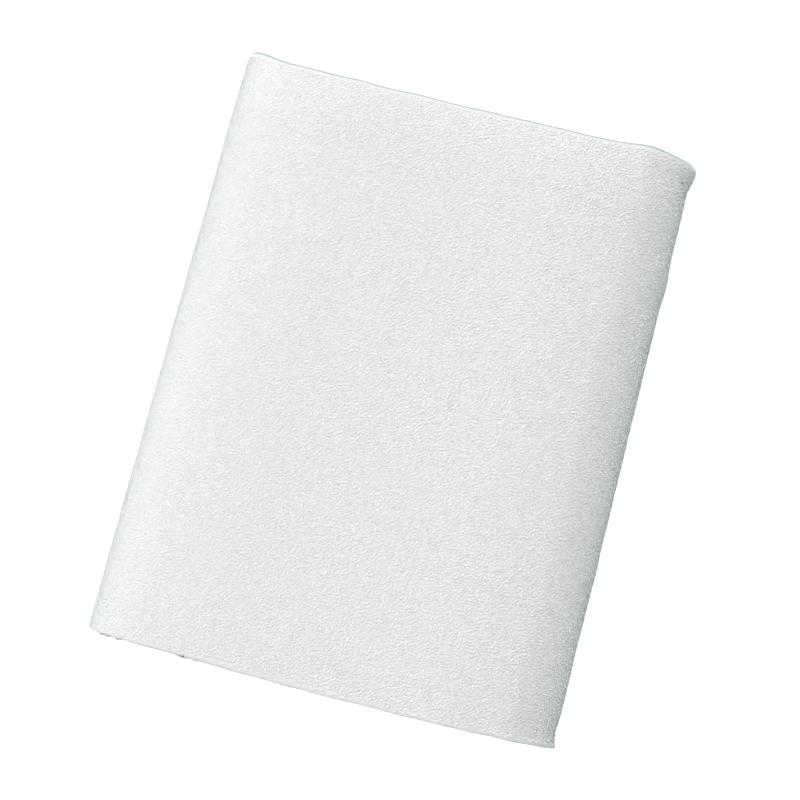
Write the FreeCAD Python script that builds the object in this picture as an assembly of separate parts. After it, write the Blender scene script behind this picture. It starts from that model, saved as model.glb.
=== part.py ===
# Mini nail buffer block: a foam core with a strip of coarse abrasive glued over its upper half and a strip of
# fine abrasive glued over its lower half. Both strips roll round the long edges and meet in an open butt seam
# at half height. The wrapped bar is sliced with a slightly curved knife, so one end is hollow and one is full.
#
# Frame, in millimetres: X across the width, Y along the length, Z up through the thickness. The origin is under
# the middle of the block, on the plane that its fine face rests on.

import FreeCAD
import Part

import math
import os

# The finished block, over the grit.
block_width = 25.0
block_length = 31.5
block_thickness = 12.0

# The foam core's long edges: a small round, led into by a shoulder that falls gently from the flat of the face.
edge_radius = 3.2
shoulder_radius = 24.0
shoulder_angle = math.radians(10.0)

# The layers of the coarse strip, from the foam outwards.
coarse_glue = 0.10
coarse_backing = 0.18
coarse_bond = 0.05
coarse_grit = 0.16

# The layers of the fine strip, from the foam outwards.
fine_glue = 0.10
fine_backing = 0.16
fine_bond = 0.04
fine_grit = 0.09

# The open seam between the strips on each long side.
seam_gap = 0.25

# How far the knife's curve bows each cut over the block's width, towards -Y at both ends.
far_cut_bow = 0.20
near_cut_bow = 0.25

# How far the uncut bar and the cutting shape run past what they have to reach.
overrun = 3.0

coarse_total = coarse_glue + coarse_backing + coarse_bond + coarse_grit
fine_total = fine_glue + fine_backing + fine_bond + fine_grit
core_half_width = block_width / 2 - max(coarse_total, fine_total)
core_half_thickness = (block_thickness - coarse_total - fine_total) / 2
mid_height = fine_total + core_half_thickness

UP = 1
DOWN = -1


def point(x, z):
    """A point of the bar's cross-section, with z counted from mid height."""
    return FreeCAD.Vector(x, 0, mid_height + z)


def arc_about(x, z, radius, start, end, side):
    """An arc of the cross-section about (x, z). Its angles are turned from straight up, clockwise towards +X."""
    places = [
        point(x + radius * math.sin(angle), side * (z + radius * math.cos(angle)))
        for angle in (start, (start + end) / 2, end)
    ]
    return Part.Arc(*places).toShape()


def line(start, end):
    return Part.LineSegment(start, end).toShape()


def half_outline(offset, side, foot):
    """Half of the cross-section's outline, offset outwards from the foam: up one long side from the height foot,
    over the face and down the other side. side is UP for the coarse half and DOWN for the fine half."""
    half_width = core_half_width + offset
    edge = edge_radius + offset
    shoulder = shoulder_radius + offset
    quarter = math.pi / 2
    edge_x = core_half_width - edge_radius
    edge_z = (
        core_half_thickness
        - shoulder_radius * (1 - math.cos(shoulder_angle))
        - edge_radius * math.cos(shoulder_angle)
    )
    flat_x = edge_x - (shoulder_radius - edge_radius) * math.sin(shoulder_angle)
    top = core_half_thickness + offset
    shoulder_z = core_half_thickness - shoulder_radius
    return [
        line(point(-half_width, side * foot), point(-half_width, side * edge_z)),
        arc_about(-edge_x, edge_z, edge, -quarter, -shoulder_angle, side),
        arc_about(-flat_x, shoulder_z, shoulder, -shoulder_angle, 0, side),
        line(point(-flat_x, side * top), point(flat_x, side * top)),
        arc_about(flat_x, shoulder_z, shoulder, 0, shoulder_angle, side),
        arc_about(edge_x, edge_z, edge, shoulder_angle, quarter, side),
        line(point(half_width, side * edge_z), point(half_width, side * foot)),
    ]


def cut_arc(corner_y, bow):
    """A knife cut seen from above: an arc that meets the block's long sides at corner_y and its middle at bow
    further towards -Y. It runs past the block on both sides."""
    half_chord = block_width / 2
    radius = half_chord**2 / (2 * bow) + bow / 2
    reach = half_chord + overrun
    centre_y = corner_y - bow + radius
    end_y = centre_y - math.sqrt(radius**2 - reach**2)
    ends = [FreeCAD.Vector(x, end_y, 0) for x in (-reach, reach)]
    middle = FreeCAD.Vector(0, corner_y - bow, 0)
    return Part.Arc(ends[0], middle, ends[1]).toShape(), ends


def slice_between_cuts():
    """The space between the two knife cuts: as wide and as high as the bar and more, and as long as the block."""
    far_arc, far_ends = cut_arc(block_length / 2, far_cut_bow)
    near_arc, near_ends = cut_arc(-block_length / 2 + near_cut_bow, near_cut_bow)
    sides = [line(near, far) for near, far in zip(near_ends, far_ends)]
    plan = Part.Face(Part.Wire(Part.__sortEdges__([far_arc, sides[1], near_arc, sides[0]])))
    plan.translate(FreeCAD.Vector(0, 0, -overrun))
    return plan.extrude(FreeCAD.Vector(0, 0, block_thickness + 2 * overrun))


def sliced_bar(edges):
    """The bar with this cross-section, sliced to the block's length."""
    section = Part.Face(Part.Wire(Part.__sortEdges__(edges)))
    start = -(block_length / 2 + overrun)
    section.translate(FreeCAD.Vector(0, start, 0))
    bar = section.extrude(FreeCAD.Vector(0, -2 * start, 0))
    return bar.common(slice_between_cuts()).Solids[0]


def foam_core():
    """The foam, a whole bar with four rolled long edges."""
    return sliced_bar(half_outline(0, UP, 0) + half_outline(0, DOWN, 0))


def strip_layer(inner, thickness, side):
    """One layer of a strip, from the offset inner outwards, over one half of the bar and down to the seam."""
    foot = seam_gap / 2
    outer = inner + thickness
    rims = [
        line(
            point(end * (core_half_width + inner), side * foot),
            point(end * (core_half_width + outer), side * foot),
        )
        for end in (-1, 1)
    ]
    return sliced_bar(half_outline(inner, side, foot) + half_outline(outer, side, foot) + rims)


def strip(name, side, thicknesses):
    """All layers of one abrasive strip, by node name, stacked from the foam outwards."""
    layers = {}
    inner = 0.0
    for layer, thickness in thicknesses.items():
        layers[name + "_" + layer] = strip_layer(inner, thickness, side)
        inner += thickness
    return layers


def block():
    """Every piece of the block, by node name."""
    pieces = {"foam_core": foam_core()}
    coarse = {
        "glue_film": coarse_glue,
        "backing_sheet": coarse_backing,
        "bond_coat": coarse_bond,
        "grit_coat": coarse_grit,
    }
    fine = {
        "glue_film": fine_glue,
        "backing_sheet": fine_backing,
        "bond_coat": fine_bond,
        "grit_coat": fine_grit,
    }
    pieces.update(strip("coarse", UP, coarse))
    pieces.update(strip("fine", DOWN, fine))
    return pieces


os.makedirs("parts", exist_ok=True)
for node, solid in block().items():
    box = solid.BoundBox
    print(
        f"{node}: valid {solid.isValid()}, {solid.Volume:.2f} mm3,"
        f" {box.XLength:.3f} x {box.YLength:.3f} x {box.ZLength:.3f} mm, z from {box.ZMin:.3f}"
    )
    solid.exportStep(f"parts/{node}.step")
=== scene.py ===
import math

import bmesh
import bpy
import numpy as np
from mathutils import Matrix, Vector, noise


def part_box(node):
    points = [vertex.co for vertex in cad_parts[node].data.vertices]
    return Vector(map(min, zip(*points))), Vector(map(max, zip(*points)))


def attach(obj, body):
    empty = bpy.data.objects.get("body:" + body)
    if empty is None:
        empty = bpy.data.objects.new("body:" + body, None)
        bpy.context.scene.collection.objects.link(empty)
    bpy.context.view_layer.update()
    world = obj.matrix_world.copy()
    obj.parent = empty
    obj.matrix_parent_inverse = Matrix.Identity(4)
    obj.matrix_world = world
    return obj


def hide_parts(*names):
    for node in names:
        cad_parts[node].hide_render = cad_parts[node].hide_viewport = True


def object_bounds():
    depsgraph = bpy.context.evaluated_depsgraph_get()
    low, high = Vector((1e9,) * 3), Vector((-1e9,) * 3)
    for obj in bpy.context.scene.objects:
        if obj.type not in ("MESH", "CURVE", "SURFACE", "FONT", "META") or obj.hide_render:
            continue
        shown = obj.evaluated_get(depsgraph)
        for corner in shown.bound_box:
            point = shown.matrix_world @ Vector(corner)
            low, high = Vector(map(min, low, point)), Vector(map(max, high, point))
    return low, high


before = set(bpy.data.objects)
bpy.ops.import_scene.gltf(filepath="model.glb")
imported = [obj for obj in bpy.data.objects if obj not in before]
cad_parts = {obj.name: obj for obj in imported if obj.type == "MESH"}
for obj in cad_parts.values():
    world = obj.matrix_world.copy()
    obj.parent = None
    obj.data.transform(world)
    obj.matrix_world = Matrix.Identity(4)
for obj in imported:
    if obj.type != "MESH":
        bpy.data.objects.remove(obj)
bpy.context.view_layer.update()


# ---- Foam core ----
# A slice of white closed-cell foam bar with rolled long edges. A knife slices the wrapped bar, which opens
# the cells on both end faces, leaves faint drag lines down them and pinches each end a little thinner.

mm = 0.001
core_low, core_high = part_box("foam_core")
block_low, block_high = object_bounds()
core_half_width = (core_high.x - core_low.x) / 2
core_half_thickness = (core_high.z - core_low.z) / 2
mid_height = (core_high.z + core_low.z) / 2
block_half_width = (block_high.x - block_low.x) / 2
block_length = block_high.y - block_low.y
half_height = (block_high.z - block_low.z) / 2

edge_radius = 3.2 * mm
shoulder_radius = 24.0 * mm
shoulder_angle = math.radians(10.0)
far_cut_bow = 0.20 * mm
near_cut_bow = 0.25 * mm

# The bends of the core's half outline, as lengths along it from the middle of the face.
edge_x = core_half_width - edge_radius
flat_x = edge_x - (shoulder_radius - edge_radius) * math.sin(shoulder_angle)
edge_z = (
    core_half_thickness
    - shoulder_radius * (1 - math.cos(shoulder_angle))
    - edge_radius * math.cos(shoulder_angle)
)
edge_start = flat_x + shoulder_radius * shoulder_angle
side_start = edge_start + edge_radius * (math.pi / 2 - shoulder_angle)
outline_half = side_start + edge_z


def outline(along, offset, side):
    """Places on the outline of the wrapped bar: along it from the middle of a face, and offset outwards
    from the foam. side is 1 for the upper half and -1 for the lower. Returns the places' x and z."""
    far = np.abs(along)
    turned = np.clip((far - flat_x) / shoulder_radius, 0, shoulder_angle)
    turned = turned + np.clip((far - edge_start) / edge_radius, 0, math.pi / 2 - shoulder_angle)
    on_shoulder = np.minimum(turned, shoulder_angle)
    x = np.minimum(far, flat_x) + shoulder_radius * np.sin(on_shoulder)
    z = core_half_thickness - shoulder_radius * (1 - np.cos(on_shoulder))
    x = x + edge_radius * (np.sin(turned) - np.sin(on_shoulder))
    z = z + edge_radius * (np.cos(turned) - np.cos(on_shoulder))
    z = z - np.maximum(far - side_start, 0)
    x = (x + offset * np.sin(turned)) * np.sign(along)
    return x, mid_height + side * (z + offset * np.cos(turned))


# What the knife does to the ends: how much thinner it pinches them, over what reach, and how far it pushes
# the near cut's left and right sides, and the far cut's corners, along the bar. The push starts at a share
# of the half width, and at the far cut it grows over corner_fall down from each face.
near_pinch = 0.010
far_pinch = 0.062
pinch_reach = 3.2 * mm
near_push = (0.11 * mm, 0.02 * mm)
corner_push = 0.45 * mm
corner_fall = edge_radius + 0.4 * mm
pushed_from = 0.6

# The waves in the cut edges and in the long sides: how high they are, then their length and a seed.
edge_ripple = 0.045 * mm
far_waves = (1.6 * mm, 3.1)
near_waves = (1.3 * mm, 8.4)
side_ripple = 0.045 * mm
right_waves = (2.3 * mm, 5.7)
left_waves = (2.7 * mm, 1.9)
left_calm = 0.6

# Single humps: how far each stands out, where its middle is and how wide it is.
far_left_lip = (0.43 * mm, -12.0 * mm, 1.5 * mm)
far_right_swell = (0.22 * mm, 9.9 * mm, 1.4 * mm)
far_right_flare = (0.20 * mm, 0.32 * mm, 0.46 * mm)
right_bulges = [
    (0.10 * mm, 9.4 * mm, 1.1 * mm),
    (0.06 * mm, -6.3 * mm, 0.9 * mm),
    (-0.08 * mm, -14.9 * mm, 0.6 * mm),
    (0.11 * mm, -15.75 * mm, 0.25 * mm),
]

# Noise is 0 at whole numbers, so the waves are read between them.
off_grid = 0.37


def ripple(place, length, seed):
    """Slow random waves between -1 and 1 along one direction, about this long."""
    waves = [noise.noise(Vector((value / length, seed, off_grid))) for value in np.ravel(place)]
    return np.array(waves).reshape(np.shape(place))


def hump(place, reach, middle, width):
    """A smooth hump that stands out by its reach at its middle."""
    return reach * np.exp(-(((place - middle) / width) ** 2))


def as_sliced(points):
    """Moves points of a straight bar to where slicing leaves them: between two bowed cuts, with pinched
    ends, a slight ripple in every edge, a lip at the far left corner, a swell and a flare by the far right
    one, and small bulges and a dent down the right side."""
    x, y, z = points.T
    across = x / block_half_width
    share = y / block_length + 0.5
    near = -block_length / 2 + near_cut_bow * across**2
    far = block_length / 2 - far_cut_bow * (1 - across**2)
    from_cut = np.minimum(share, 1 - share) * block_length
    end = np.clip(1 - from_cut / pinch_reach, 0, 1) ** 2
    at_far = share > 0.5
    sides = np.clip((np.abs(across) - pushed_from) / (1 - pushed_from), 0, 1)
    fall = np.clip((half_height - np.abs(z - mid_height)) / corner_fall, 0, 1)
    far_push = corner_push * fall * sides + hump(x, *far_left_lip) + hump(x, *far_right_swell)
    pushed = np.where(at_far, far_push, -np.where(x < 0, *near_push) * sides)
    waves = np.where(at_far, ripple(x, *far_waves), ripple(x, *near_waves))
    new_y = near + (far - near) * share + (edge_ripple * waves + pushed) * end
    new_z = mid_height + (z - mid_height) * (1 - np.where(at_far, far_pinch, near_pinch) * end)
    waves = np.where(x > 0, ripple(y, *right_waves), left_calm * ripple(y, *left_waves))
    bulges = sum(hump(y, *bulge) for bulge in right_bulges)
    bulges = bulges + np.where(at_far, hump(from_cut, *far_right_flare), 0)
    new_x = x + (side_ripple * waves * np.sign(x) + np.where(x > 0, bulges, 0)) * sides
    return np.stack([new_x, new_y, new_z], axis=1)


end_rows = 9


def row_places(middle_step):
    """Where a mesh has its rows along the bar: close together by the cuts, where slicing bends it, and this
    far apart in the middle."""
    bent = pinch_reach * np.linspace(0, 1, end_rows) ** 1.5
    straight = block_length / 2 - pinch_reach
    middle = np.linspace(-straight, straight, 2 + round(2 * straight / middle_step))[1:-1]
    return np.concatenate([bent - block_length / 2, middle, (block_length / 2 - bent)[::-1]])


def in_scene(name, data):
    """A new object in the scene, from a mesh, a light or a camera."""
    made = bpy.data.objects.new(name, data)
    bpy.context.scene.collection.objects.link(made)
    return made


def piece(name, mesh):
    """A finished piece of the block."""
    made = in_scene(name, mesh)
    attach(made, "root")
    return made


def built_piece(name, points, faces, node):
    """A piece with these points and faces, which stands for a CAD node."""
    mesh = bpy.data.meshes.new(name)
    mesh.from_pydata([tuple(place) for place in points], [], faces)
    mesh.validate()
    made = piece(name, mesh)
    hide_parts(node)
    return made


class Signal:
    """One output of a material's nodes. Sums of signals and numbers add the Math nodes that they need."""

    def __init__(self, tree, socket=None):
        self.tree = tree
        self.socket = socket

    def node(self, kind, settings, inputs, output=0):
        """Adds a node: first its settings, then a value or a signal for each input named."""
        made = self.tree.nodes.new("ShaderNode" + kind)
        for name, value in settings.items():
            setattr(made, name, value)
        for name, value in inputs.items():
            if isinstance(value, Signal):
                self.tree.links.new(value.socket, made.inputs[name])
            else:
                made.inputs[name].default_value = value
        return Signal(self.tree, made.outputs[output])

    def math(self, operation, first, second):
        return self.node("Math", {"operation": operation}, {0: first, 1: second})

    def __add__(self, other):
        return self.math("ADD", self, other)

    def __sub__(self, other):
        return self.math("SUBTRACT", self, other)

    def __rsub__(self, other):
        return self.math("SUBTRACT", other, self)

    def __mul__(self, other):
        return self.math("MULTIPLY", self, other)

    __radd__ = __add__
    __rmul__ = __mul__


def blank_material(name):
    """A material with only its principled shader, and the start of its signals: a place on the piece."""
    made = bpy.data.materials.new(name)
    made.use_nodes = True
    tree = made.node_tree
    place = Signal(tree).node("TexCoord", {}, {}, "Object")
    return made, tree.nodes["Principled BSDF"], place


def speckle(place, size, detail=2.0, roughness=0.6):
    """Random patches about this size across, between 0 and 1."""
    return place.node(
        "TexNoise", {}, {"Vector": place, "Scale": 1 / size, "Detail": detail, "Roughness": roughness}
    )


def between(share, low, high):
    """A colour that goes from low to high with the share. A Mix node keeps its colours in these sockets."""
    first, second, mixed = 6, 7, 2
    return share.node(
        "Mix", {"data_type": "RGBA"}, {"Factor": share, first: (*low, 1), second: (*high, 1)}, mixed
    )


def bumped(height, depth):
    """A normal that follows this height, which is depth deep."""
    return height.node("Bump", {}, {"Height": height, "Distance": depth, "Strength": 1.0})


def feed(signal, shader, name):
    signal.tree.links.new(signal.socket, shader.inputs[name])


core_columns = 280
core_rows = 104
core_row_step = 1.5 * mm

# The open cells of a cut: large and small ones, each read from its own slice through a random pattern.
# They fade out over the sound rim, a share of the half width and half thickness. The whole cut is dished.
cell_size = 0.30 * mm
cell_slice = 10 * mm
small_cell_size = 0.55 * cell_size
small_cell_slice = 20 * mm
small_cell_share = 0.25
cell_wall_slope = 2.2
cell_depth = 0.085 * mm
dish = 0.12 * mm
sound_rim = 1 / 8


def open_cell(place):
    """How far an open cell sinks in at a place, from 0 on its wall to 1 in its pit."""
    distances, _ = noise.voronoi(place)
    return min(1.0, (distances[1] - distances[0]) * cell_wall_slope)


def foam_cells(x, z, end):
    """How far the open cells of a cut face sink in at a place. end is -1 for the near cut, 1 for the far."""
    large = open_cell(Vector((x, end * cell_slice, z)) / cell_size)
    small = open_cell(Vector((x, end * small_cell_slice, z)) / small_cell_size)
    return cell_depth * ((1 - small_cell_share) * large + small_cell_share * small)


def foam_core():
    """The core: two end grids of open cells, joined by its rolled sides."""
    top = np.linspace(-side_start, side_start, core_columns + 1)
    top_x, top_z = outline(top, 0.0, 1)
    points = []
    for end in (-1, 1):
        for column in range(core_columns + 1):
            half = top_z[column] - mid_height
            for row in range(core_rows + 1):
                height = 2 * row / core_rows - 1
                x, z = top_x[column], mid_height + half * height
                inside = min(1.0, (1 - abs(height)) / sound_rim)
                inside *= min(1.0, (1 - abs(x) / core_half_width) / sound_rim)
                sink = inside * foam_cells(x, z, end) if inside else 0.0
                sink += dish * (1 - height**2) * (1 - (x / core_half_width) ** 2)
                points.append((x, end * (block_length / 2 - sink), z))
    grid = np.arange(len(points)).reshape(2, core_columns + 1, core_rows + 1)
    faces = []
    for end in (0, 1):
        a, b, c, d = grid[end, :-1, :-1], grid[end, 1:, :-1], grid[end, 1:, 1:], grid[end, :-1, 1:]
        order = (a, b, c, d) if end == 0 else (d, c, b, a)
        faces += np.stack(order, axis=-1).reshape(-1, 4).tolist()
    loops = [
        [*cut[:, -1], *cut[-1, -2::-1], *cut[-2::-1, 0], *cut[0, 1:-1]]
        for cut in grid
    ]
    rings = [loops[0]]
    for place in row_places(core_row_step)[1:-1]:
        share = place / block_length + 0.5
        rings.append(range(len(points), len(points) + len(loops[0])))
        points += [
            tuple(np.array(points[near]) * (1 - share) + np.array(points[far]) * share)
            for near, far in zip(*loops)
        ]
    rings.append(loops[1])
    for near, far in zip(rings, rings[1:]):
        count = len(near)
        faces += [[near[i], far[i], far[(i + 1) % count], near[(i + 1) % count]] for i in range(count)]
    return built_piece("foam_core_sliced", as_sliced(np.array(points)), faces, "foam_core")


# Foam colours: pale for the cell walls, and a painted shade for the pits of the open cells.
foam_pale = (0.93, 0.93, 0.925)
foam_painted_pit_shade = (0.73, 0.735, 0.73)
pore_size, pore_depth = 0.20 * mm, 0.04 * mm
drag_width, drag_stretch = 0.35 * mm, 0.06
patch_size = 2.5 * mm


def foam_material():
    """White foam, with painted shade darker in its open cells and the knife's drag lines running down the
    cut.
    """
    made, shader, place = blank_material("white closed-cell foam")
    cells = place.node("TexVoronoi", {"feature": "F1"}, {"Vector": place, "Scale": 1 / pore_size})
    stretched = place.node("Mapping", {}, {"Vector": place, "Scale": (1.0, 1.0, drag_stretch)})
    drag = speckle(stretched, drag_width, detail=3.0)
    patches = speckle(place, patch_size)
    # Painted shade: the colour darkens towards the middle of each open cell, with random patches mixed in.
    painted_pit_shade = 1 - cells * 1.4
    feed(between(painted_pit_shade * 0.8 + patches * 0.2, foam_pale, foam_painted_pit_shade), shader, "Base Color")
    feed(0.78 + patches * 0.2, shader, "Roughness")
    feed(bumped(cells + drag * 0.5, pore_depth), shader, "Normal")
    return made


core = foam_core()
core.data.materials.append(foam_material())


# ---- Coarse strip ----
# Sandpaper for the upper half of the bar: white grains in a clear size coat, on latex paper, glued to the
# foam. It rolls round both long edges and stops at half height, so its four layers show at cuts and seams.

seam_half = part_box("coarse_grit_coat")[0].z - mid_height
strip_half = outline_half - seam_half
coat_pitch = 0.112 * mm
sheet_pitch = 0.10 * mm
sheet_row_step = 1.5 * mm
tear_reach = 0.5 * mm
tear_length = 0.19 * mm
far_tear_shift = 40 * mm
coarse_lumps, coarse_relief, coarse_sink = 0.27 * mm, 0.016 * mm, 0.016 * mm
coarse_bed = 0.014 * mm

# Burrs on the near cut: how far each stands out, where it is and how wide it is.
coarse_burrs = [
    (0.09 * mm, -11.4 * mm, 0.16 * mm),
    (0.10 * mm, -10.95 * mm, 0.14 * mm),
    (0.11 * mm, -10.27 * mm, 0.11 * mm),
    (0.07 * mm, -6.75 * mm, 0.24 * mm),
    (0.05 * mm, -6.08 * mm, 0.10 * mm),
]


def layer_depths(name):
    """How far each strip layer's inside and outside stand off the foam, read from the CAD's sides."""
    names = [f"{name}_{layer}" for layer in ("glue_film", "backing_sheet", "bond_coat", "grit_coat")]
    outsides = [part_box(node)[1].x - core_half_width for node in names]
    return dict(zip(names, zip([0.0, *outsides], outsides)))


def wrapped(sheet, side):
    """Where points of a flat sheet go once it is wrapped round the bar and the bar is sliced. A point is
    how far it is along the sheet from its middle, down the bar, and up from the foam. side is 1 for the
    upper strip and -1 for the lower."""
    along, down, up = sheet.T
    x, z = outline(along, up, side)
    return as_sliced(np.stack([x, down, z], axis=1))


def sheet_grid(columns, rows, height):
    """The points of a grid on the flat sheet, this high above the foam."""
    along, down = (grid.ravel() for grid in np.meshgrid(columns, rows, indexing="ij"))
    return np.stack([along, down, np.full(len(along), height)], axis=1)


def torn(sheet, short, ragged, seed, burrs=()):
    """Tears a sheet's two cut edges. They stop short by this much at the near and the far cut, unevenly,
    and a few burrs stand out at the near one."""
    along, down, _ = sheet.T
    hold = np.clip(1 - (block_length / 2 - np.abs(down)) / tear_reach, 0, 1)
    tear = ripple(along + np.where(down > 0, far_tear_shift, 0), tear_length, seed)
    gap = np.where(down < 0, *short) + ragged * tear
    for burr in burrs:
        gap = gap - hump(along, *burr) * (down < 0)
    sheet[:, 1] = down - np.sign(down) * gap * hold


def strip_layer(node, material, side, depths, pitch, relief, edge):
    """One closed layer of a strip. Its outside is a grid with this relief, its inside is plain, and edge
    says how its cut edges are torn. side is 1 for the upper strip and -1 for the lower."""
    inner, outer = depths
    columns = np.linspace(-strip_half, strip_half, 1 + round(2 * strip_half / pitch))
    plain_rows = row_places(sheet_row_step)
    close_rows = np.linspace(-block_length / 2, block_length / 2, 1 + round(block_length / pitch))
    outside = sheet_grid(columns, close_rows if relief else plain_rows, outer)
    inside = sheet_grid(columns, plain_rows, inner)
    if relief:
        outside[:, 2] += relief(outside)
    torn(outside, **edge)
    torn(inside, **edge)
    out = np.arange(len(outside)).reshape(len(columns), -1)
    back = len(outside) + np.arange(len(inside)).reshape(len(columns), -1)
    quads = [
        (out[:-1, :-1], out[1:, :-1], out[1:, 1:], out[:-1, 1:]),
        (back[:-1, :-1], back[:-1, 1:], back[1:, 1:], back[1:, :-1]),
        (out[1:, 0], out[:-1, 0], back[:-1, 0], back[1:, 0]),
        (out[:-1, -1], out[1:, -1], back[1:, -1], back[:-1, -1]),
    ]
    faces = [face for corners in quads for face in np.stack(corners, axis=-1).reshape(-1, 4).tolist()]
    faces += [[*out[0], *back[0, ::-1]], [*out[-1, ::-1], *back[-1]]]
    if side < 0:
        faces = [face[::-1] for face in faces]
    points = wrapped(np.concatenate([outside, inside]), side)
    made = built_piece(node + "_wrapped", points, faces, node)
    made.data.polygons.foreach_set("use_smooth", [True] * len(made.data.polygons))
    made.data.materials.append(material)


lump_radius = 0.62
lump_variety = 0.4
lump_scramble = 5.3
swell_height = 0.12
swell_length = 2.5


def lumpy(spacing, height, sink):
    """A relief of rounded lumps of random height, whose tops stay this far under the coat's thickness."""

    def relief(sheet):
        lumps = []
        for point in sheet:
            place = Vector(point) / spacing
            distances, centres = noise.voronoi(place)
            own = (1 - lump_variety) + lump_variety * noise.noise(centres[0] * lump_scramble)
            lump = own * max(0.0, 1.0 - (distances[0] / lump_radius) ** 2)
            lumps.append(lump + swell_height * noise.noise(place / swell_length))
        return height * (np.array(lumps) - 1.0) - sink

    return relief


def geometry_tree(name, inputs):
    """A geometry node tree with these named inputs: a socket type for each. Returns it with its ends."""
    tree = bpy.data.node_groups.new(name, "GeometryNodeTree")
    tree.interface.new_socket("Geometry", in_out="INPUT", socket_type="NodeSocketGeometry")
    for label, kind in inputs.items():
        tree.interface.new_socket(label, in_out="INPUT", socket_type="NodeSocket" + kind)
    tree.interface.new_socket("Geometry", in_out="OUTPUT", socket_type="NodeSocketGeometry")
    return tree, tree.nodes.new("NodeGroupInput").outputs, tree.nodes.new("NodeGroupOutput").inputs[0]


def step(tree, kind, settings, inputs):
    """Adds one geometry node: its settings, then a value or a link for each input. Returns its outputs."""
    made = tree.nodes.new(kind)
    for name, value in settings.items():
        setattr(made, name, value)
    for name, value in inputs.items():
        if isinstance(value, bpy.types.NodeSocket):
            tree.links.new(value, made.inputs[name])
        else:
            made.inputs[name].default_value = value
    return made.outputs


def grown(name, tree, emitter, values):
    """Runs a tree on an emitter mesh with these input values, and returns the plain mesh that it grows."""
    source = in_scene(name, emitter)
    modifier = source.modifiers.new(name, "NODES")
    modifier.node_group = tree
    for item in tree.interface.items_tree:
        if item.in_out == "INPUT" and item.name in values:
            modifier[item.identifier] = values[item.name]
    depsgraph = bpy.context.evaluated_depsgraph_get()
    mesh = bpy.data.meshes.new_from_object(source.evaluated_get(depsgraph), depsgraph=depsgraph)
    source.modifiers.remove(modifier)
    bpy.data.objects.remove(source)
    bpy.data.meshes.remove(emitter)
    return mesh


as_dense_as_fits = 1e9


def grain_tree():
    """Grains scattered over a flat sheet. Each is a crystal of eight faces, lopsided, tilted and turned at
    random, with a random shade kept in the attribute tone."""
    inputs = {"Spacing": "Float", "Half size": "Vector", "Seed": "Int", "Material": "Material"}
    tree, given, result = geometry_tree("scattered grains", inputs)

    def random_vector(low, high, seed):
        settings = {"data_type": "FLOAT_VECTOR"}
        return step(tree, "FunctionNodeRandomValue", settings, {"Min": low, "Max": high, "Seed": seed})[0]

    def of_size(share):
        inputs = {0: given["Half size"], 1: share}
        return step(tree, "ShaderNodeVectorMath", {"operation": "MULTIPLY"}, inputs)[0]

    scatter = step(
        tree, "GeometryNodeDistributePointsOnFaces", {"distribute_method": "POISSON"},
        {
            "Mesh": given["Geometry"], "Seed": given["Seed"],
            "Distance Min": given["Spacing"], "Density Max": as_dense_as_fits,
        },
    )
    tone = step(tree, "FunctionNodeRandomValue", {"data_type": "FLOAT"}, {"Seed": 11})[1]
    toned = step(
        tree, "GeometryNodeStoreNamedAttribute", {"data_type": "FLOAT", "domain": "POINT"},
        {"Geometry": scatter["Points"], "Name": "tone", "Value": tone},
    )
    crystal = step(tree, "GeometryNodeMeshUVSphere", {}, {"Segments": 4, "Rings": 2, "Radius": 1.0})
    tilt = random_vector((-0.12, -0.12, 0.0), (0.12, 0.12, 2 * math.pi), 13)
    placed = step(
        tree, "GeometryNodeInstanceOnPoints", {},
        {
            "Points": toned["Geometry"], "Instance": crystal["Mesh"], "Rotation": tilt,
            "Scale": of_size(random_vector((0.7, 0.7, 0.6), (1.3, 1.1, 1.4), 12)),
        },
    )
    real = step(tree, "GeometryNodeRealizeInstances", {}, {"Geometry": placed["Instances"]})
    lopsided = step(
        tree, "GeometryNodeSetPosition", {},
        {"Geometry": real["Geometry"], "Offset": of_size(random_vector((-0.25,) * 3, (0.25,) * 3, 14))},
    )
    coated = step(
        tree, "GeometryNodeSetMaterial", {},
        {"Geometry": lopsided["Geometry"], "Material": given["Material"]},
    )
    tree.links.new(coated["Geometry"], result)
    return tree


grain_scatter = grain_tree()

# How far the coat stops short of the near and the far cut, and the grains of the coat's edge and the seams.
bare_edges = (0.035 * mm, 0.12 * mm)
bald_rim = 0.14 * mm
bald_seam = 0.06 * mm

# How many times their own height the grains stand at the sheet's middle, and how that grows to the right.
grain_rise = 1.05
grain_rise_to_right = 0.034 / mm


def grains(name, side, stretch, height, values):
    """One piece of many grains, scattered over a stretch of the flat sheet at this height and wrapped with
    it. Their map is the flat sheet, so each has a spot of its own."""
    near, far = (block_length / 2 - bare - bald_rim for bare in bare_edges)
    rows = np.array([-near, far])
    flat = bpy.data.meshes.new("flat sheet")
    flat.from_pydata(sheet_grid(np.array(stretch), rows, height).tolist(), [], [(0, 2, 3, 1)])
    mesh = grown(name, grain_scatter, flat, values)
    sheet = np.empty(3 * len(mesh.vertices), np.float32)
    mesh.vertices.foreach_get("co", sheet)
    sheet = sheet.reshape(-1, 3).astype(float)
    rise = grain_rise + grain_rise_to_right * sheet[:, 0]
    sheet[:, 2] = height + (sheet[:, 2] - height) * rise
    corners = np.empty(len(mesh.loops), np.int32)
    mesh.loops.foreach_get("vertex_index", corners)
    spots = sheet[corners, :2] / (2 * strip_half, block_length) + 0.5
    mesh.uv_layers.new(name="OFBake").data.foreach_set("uv", spots.astype(np.float32).ravel())
    mesh.vertices.foreach_set("co", wrapped(sheet, side).astype(np.float32).ravel())
    if side < 0:
        mesh.flip_normals()
    mesh.update()
    piece(name, mesh)


def grain_halves(name, side, height, values):
    """A strip's grains, in a left and a right piece."""
    reach = strip_half - bald_seam
    for half, stretch in (("left", (-reach, 0.0)), ("right", (0.0, reach))):
        grains(f"{name}_grains_{half}", side, stretch, height, values)


cloud_size = 6 * mm
finer = 2.6


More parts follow.
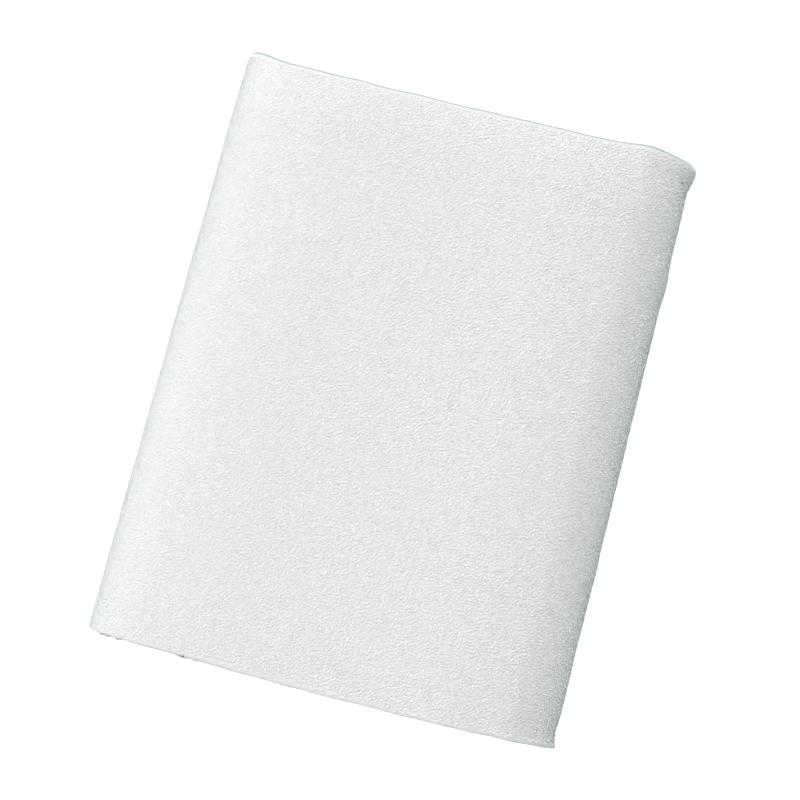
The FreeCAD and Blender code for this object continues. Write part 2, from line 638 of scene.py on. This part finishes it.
def grit_material(name, dark, light, grain, deep, rough):
    """White grains under a clear size coat: a little uneven in colour, matt, rough at their own scale."""
    made, shader, place = blank_material(name)
    lumps = speckle(place, grain, detail=3.0, roughness=0.7)
    fine = speckle(place, grain / finer)
    cloud = speckle(place, cloud_size)
    feed(between(lumps * 0.8 + cloud * 0.2, dark, light), shader, "Base Color")
    feed(rough + 0.35 * (fine - 0.5), shader, "Roughness")
    feed(bumped(lumps + fine * 0.5, deep), shader, "Normal")
    return made


def grain_material(name, dark, light, rough):
    """Single grains of white aluminium oxide, each a shade of its own."""
    made, shader, place = blank_material(name)
    tone = place.node("Attribute", {"attribute_name": "tone"}, {}, "Fac")
    feed(between(tone, dark, light), shader, "Base Color")
    feed(rough + 0.3 * (tone - 0.5), shader, "Roughness")
    return made


def edge_material(name, dark, light, streak, rough, deep):
    """A thin layer that shows only at its cut edges: paper, glue or resin, streaked along the sheet."""
    made, shader, place = blank_material(name)
    fibres = speckle(place, streak, detail=4.0, roughness=0.65)
    feed(between(fibres, dark, light), shader, "Base Color")
    feed(rough + 0.25 * (fibres - 0.5), shader, "Roughness")
    feed(bumped(fibres, deep), shader, "Normal")
    return made


paper = edge_material(
    "white latex paper", (0.76, 0.78, 0.76), (0.88, 0.89, 0.87), 0.06 * mm, 0.85, 0.01 * mm
)
glue = edge_material(
    "dried clear glue", (0.68, 0.70, 0.66), (0.78, 0.80, 0.76), 0.30 * mm, 0.35, 0.004 * mm
)
resin = edge_material(
    "set resin", (0.42, 0.475, 0.465), (0.55, 0.61, 0.60), 0.20 * mm, 0.50, 0.004 * mm
)
coarse_coat = grit_material(
    "coarse white grit", (0.79, 0.82, 0.81), (0.86, 0.88, 0.88), 0.13 * mm, 0.04 * mm, 0.72
)
coarse_grain = grain_material("coarse white grains", (0.79, 0.79, 0.80), (0.87, 0.87, 0.88), 0.6)


def strip(name, side, relief, coat, burrs=()):
    """The four layers of one strip, from the foam outwards: each one's slot and material, how ragged its cut
    edges are, and the seed of its tears. Returns how far the strip's outside stands off the foam."""
    depths = layer_depths(name)
    looks = {
        "glue_film": ("glue", glue, 0.010 * mm, 0.0),
        "backing_sheet": ("paper", paper, 0.015 * mm, 2.3),
        "bond_coat": ("resin", resin, 0.015 * mm, 4.6),
        "grit_coat": (f"{name}_grit", coat, 0.025 * mm, 6.9),
    }
    for layer, (slot, material, ragged, seed) in looks.items():
        node = f"{name}_{layer}"
        is_coat = layer == "grit_coat"
        edge = {
            "short": bare_edges if is_coat else (0.0, 0.0),
            "ragged": ragged,
            "seed": seed,
            "burrs": burrs if layer in ("backing_sheet", "bond_coat") else (),
        }
        pitch = coat_pitch if is_coat else sheet_pitch
        strip_layer(node, material, side, depths[node], pitch, relief if is_coat else None, edge)
    return depths[f"{name}_grit_coat"][1]


coarse_lumpy = lumpy(coarse_lumps, coarse_relief, coarse_sink)
coarse_outside = strip("coarse", 1, coarse_lumpy, coarse_coat, coarse_burrs)
coarse_grains = {
    "Spacing": 0.128 * mm,
    "Half size": (0.084 * mm, 0.084 * mm, 0.018 * mm),
    "Seed": 4,
    "Material": coarse_grain,
}
grain_halves("coarse", 1, coarse_outside - coarse_bed, coarse_grains)


def stray_grains():
    """Specks among the white grains: a dark one by the far right corner, a small grey one at left, and a
    grey crumb on the near cut. Each is a place along and down the sheet in mm, a size and a shade."""
    made = bmesh.new()
    tone = made.verts.layers.float.new("tone")
    specks = [
        ((12.2, 14.63), 0.090 * mm, 0.0),
        ((-8.5, 14.0), 0.045 * mm, 0.8),
        ((-6.85, -15.69), 0.050 * mm, 0.6),
        ((-6.70, -15.71), 0.060 * mm, 0.2),
    ]
    roundness, unevenness, scramble, sunk = 0.8, 0.35, 1.7, 0.3
    for (along, down), size, shade in specks:
        crystal = bmesh.ops.create_icosphere(made, subdivisions=1, radius=size)
        for index, vert in enumerate(crystal["verts"]):
            vert.co *= roundness + unevenness * noise.noise(Vector((index * scramble, along, 0.5)))
            vert.co += Vector((along * mm, down * mm, coarse_outside - sunk * size))
            vert[tone] = shade
    mesh = bpy.data.meshes.new("stray_grains")
    made.to_mesh(mesh)
    made.free()
    sheet = np.array([vert.co for vert in mesh.vertices])
    mesh.vertices.foreach_set("co", wrapped(sheet, 1).astype(np.float32).ravel())
    mesh.update()
    piece("stray_grains", mesh)
    mesh.materials.append(grain_material("brown grains", (0.035, 0.04, 0.04), (0.60, 0.62, 0.62), 0.5))


stray_grains()


# ---- Fine strip ----
# The same paper with finer, denser grit, for the lower half of the bar. The block rests on its face.

fine_lumps, fine_relief, fine_sink = 0.22 * mm, 0.012 * mm, 0.024 * mm
fine_bed = 0.022 * mm
fine_coat = grit_material(
    "fine white grit", (0.80, 0.80, 0.81), (0.86, 0.86, 0.87), 0.10 * mm, 0.03 * mm, 0.68
)
fine_grain = grain_material("fine white grains", (0.80, 0.80, 0.81), (0.87, 0.87, 0.88), 0.55)
fine_outside = strip("fine", -1, lumpy(fine_lumps, fine_relief, fine_sink), fine_coat)
fine_grains = {
    "Spacing": 0.145 * mm,
    "Half size": (0.06 * mm, 0.06 * mm, 0.017 * mm),
    "Seed": 6,
    "Material": fine_grain,
}
grain_halves("fine", -1, fine_outside - fine_bed, fine_grains)


# ---- Floor, light and camera ----
# A white table in a pale room, lit by square soft panels: one overhead, a low one on each side, and a wide
# one under the table for the light that a white table throws back. Table and room light nothing themselves.

room_white = (0.896, 1.0, 0.94, 1)
table_reach = 3.0

table_mesh = bpy.data.meshes.new("floor")
corners = [(-1, -1), (1, -1), (1, 1), (-1, 1)]
table_mesh.from_pydata([(x * table_reach, y * table_reach, 0.0) for x, y in corners], [], [(0, 1, 2, 3)])
floor = in_scene("floor", table_mesh)
floor_material, floor_shader, _ = blank_material("white table")
floor_shader.inputs["Base Color"].default_value = (0.12, 0.12, 0.12, 1)
floor_shader.inputs["Roughness"].default_value = 0.9
floor_shader.inputs["Emission Color"].default_value = room_white
floor_shader.inputs["Emission Strength"].default_value = 1.088
floor.data.materials.append(floor_material)
floor.visible_diffuse = False
floor.visible_glossy = False
floor.visible_shadow = False


def panel(name, place, size, power, colour):
    """A square soft light that points at the block."""
    light = bpy.data.lights.new(name, "AREA")
    light.shape = "SQUARE"
    light.size = size
    light.energy = power
    light.color = colour
    made = in_scene(name, light)
    made.location = place
    made.rotation_mode = "QUATERNION"
    made.rotation_quaternion = Vector(place).to_track_quat("Z", "Y")
    made.visible_camera = False


panel("overhead panel", (-0.134, 0.012, 0.585), 0.12, 1.79, (0.965, 0.905, 1.0))
panel("low left panel", (-0.562, 0.049, 0.205), 0.20, 1.97, (0.965, 1.0, 0.99))
panel("window panel", (0.0, 0.520, 0.300), 0.25, 1.88, (0.985, 1.0, 0.88))
panel("right panel", (0.520, 0.0, 0.300), 0.25, 1.02, (0.93, 0.99, 0.96))
panel("front panel", (0.0, -0.599, 0.035), 0.20, 1.76, (0.99, 0.96, 0.98))
panel("table bounce", (0.0, 0.0, -0.010), 1.00, 1.96, (0.80, 1.0, 0.90))

world = bpy.data.worlds.new("studio")
bpy.context.scene.world = world
world.use_nodes = True
room = world.node_tree.nodes["Background"].inputs
room["Color"].default_value = room_white
room["Strength"].default_value = 1.15
world.cycles_visibility.diffuse = False
world.cycles_visibility.glossy = False

lens = 76.5
camera_place = Vector((6.33, -11.55, 97.54)) * mm
camera_aim = Vector((0.572, -0.425, 12.0)) * mm
camera_turn = math.radians(14.63)

camera_data = bpy.data.cameras.new("camera")
camera_data.lens = lens
camera_data.sensor_width = 36.0
camera_data.clip_start = 1 * mm
camera = in_scene("camera", camera_data)
back = (camera_place - camera_aim).normalized()
right = Vector((0, 1, 0)).cross(back).normalized()
level = Matrix((right, back.cross(right), back)).transposed().to_4x4()
camera.matrix_world = Matrix.Translation(camera_place) @ level @ Matrix.Rotation(camera_turn, 4, "Z")
bpy.context.scene.camera = camera
bpy.context.scene.view_settings.view_transform = "Standard"
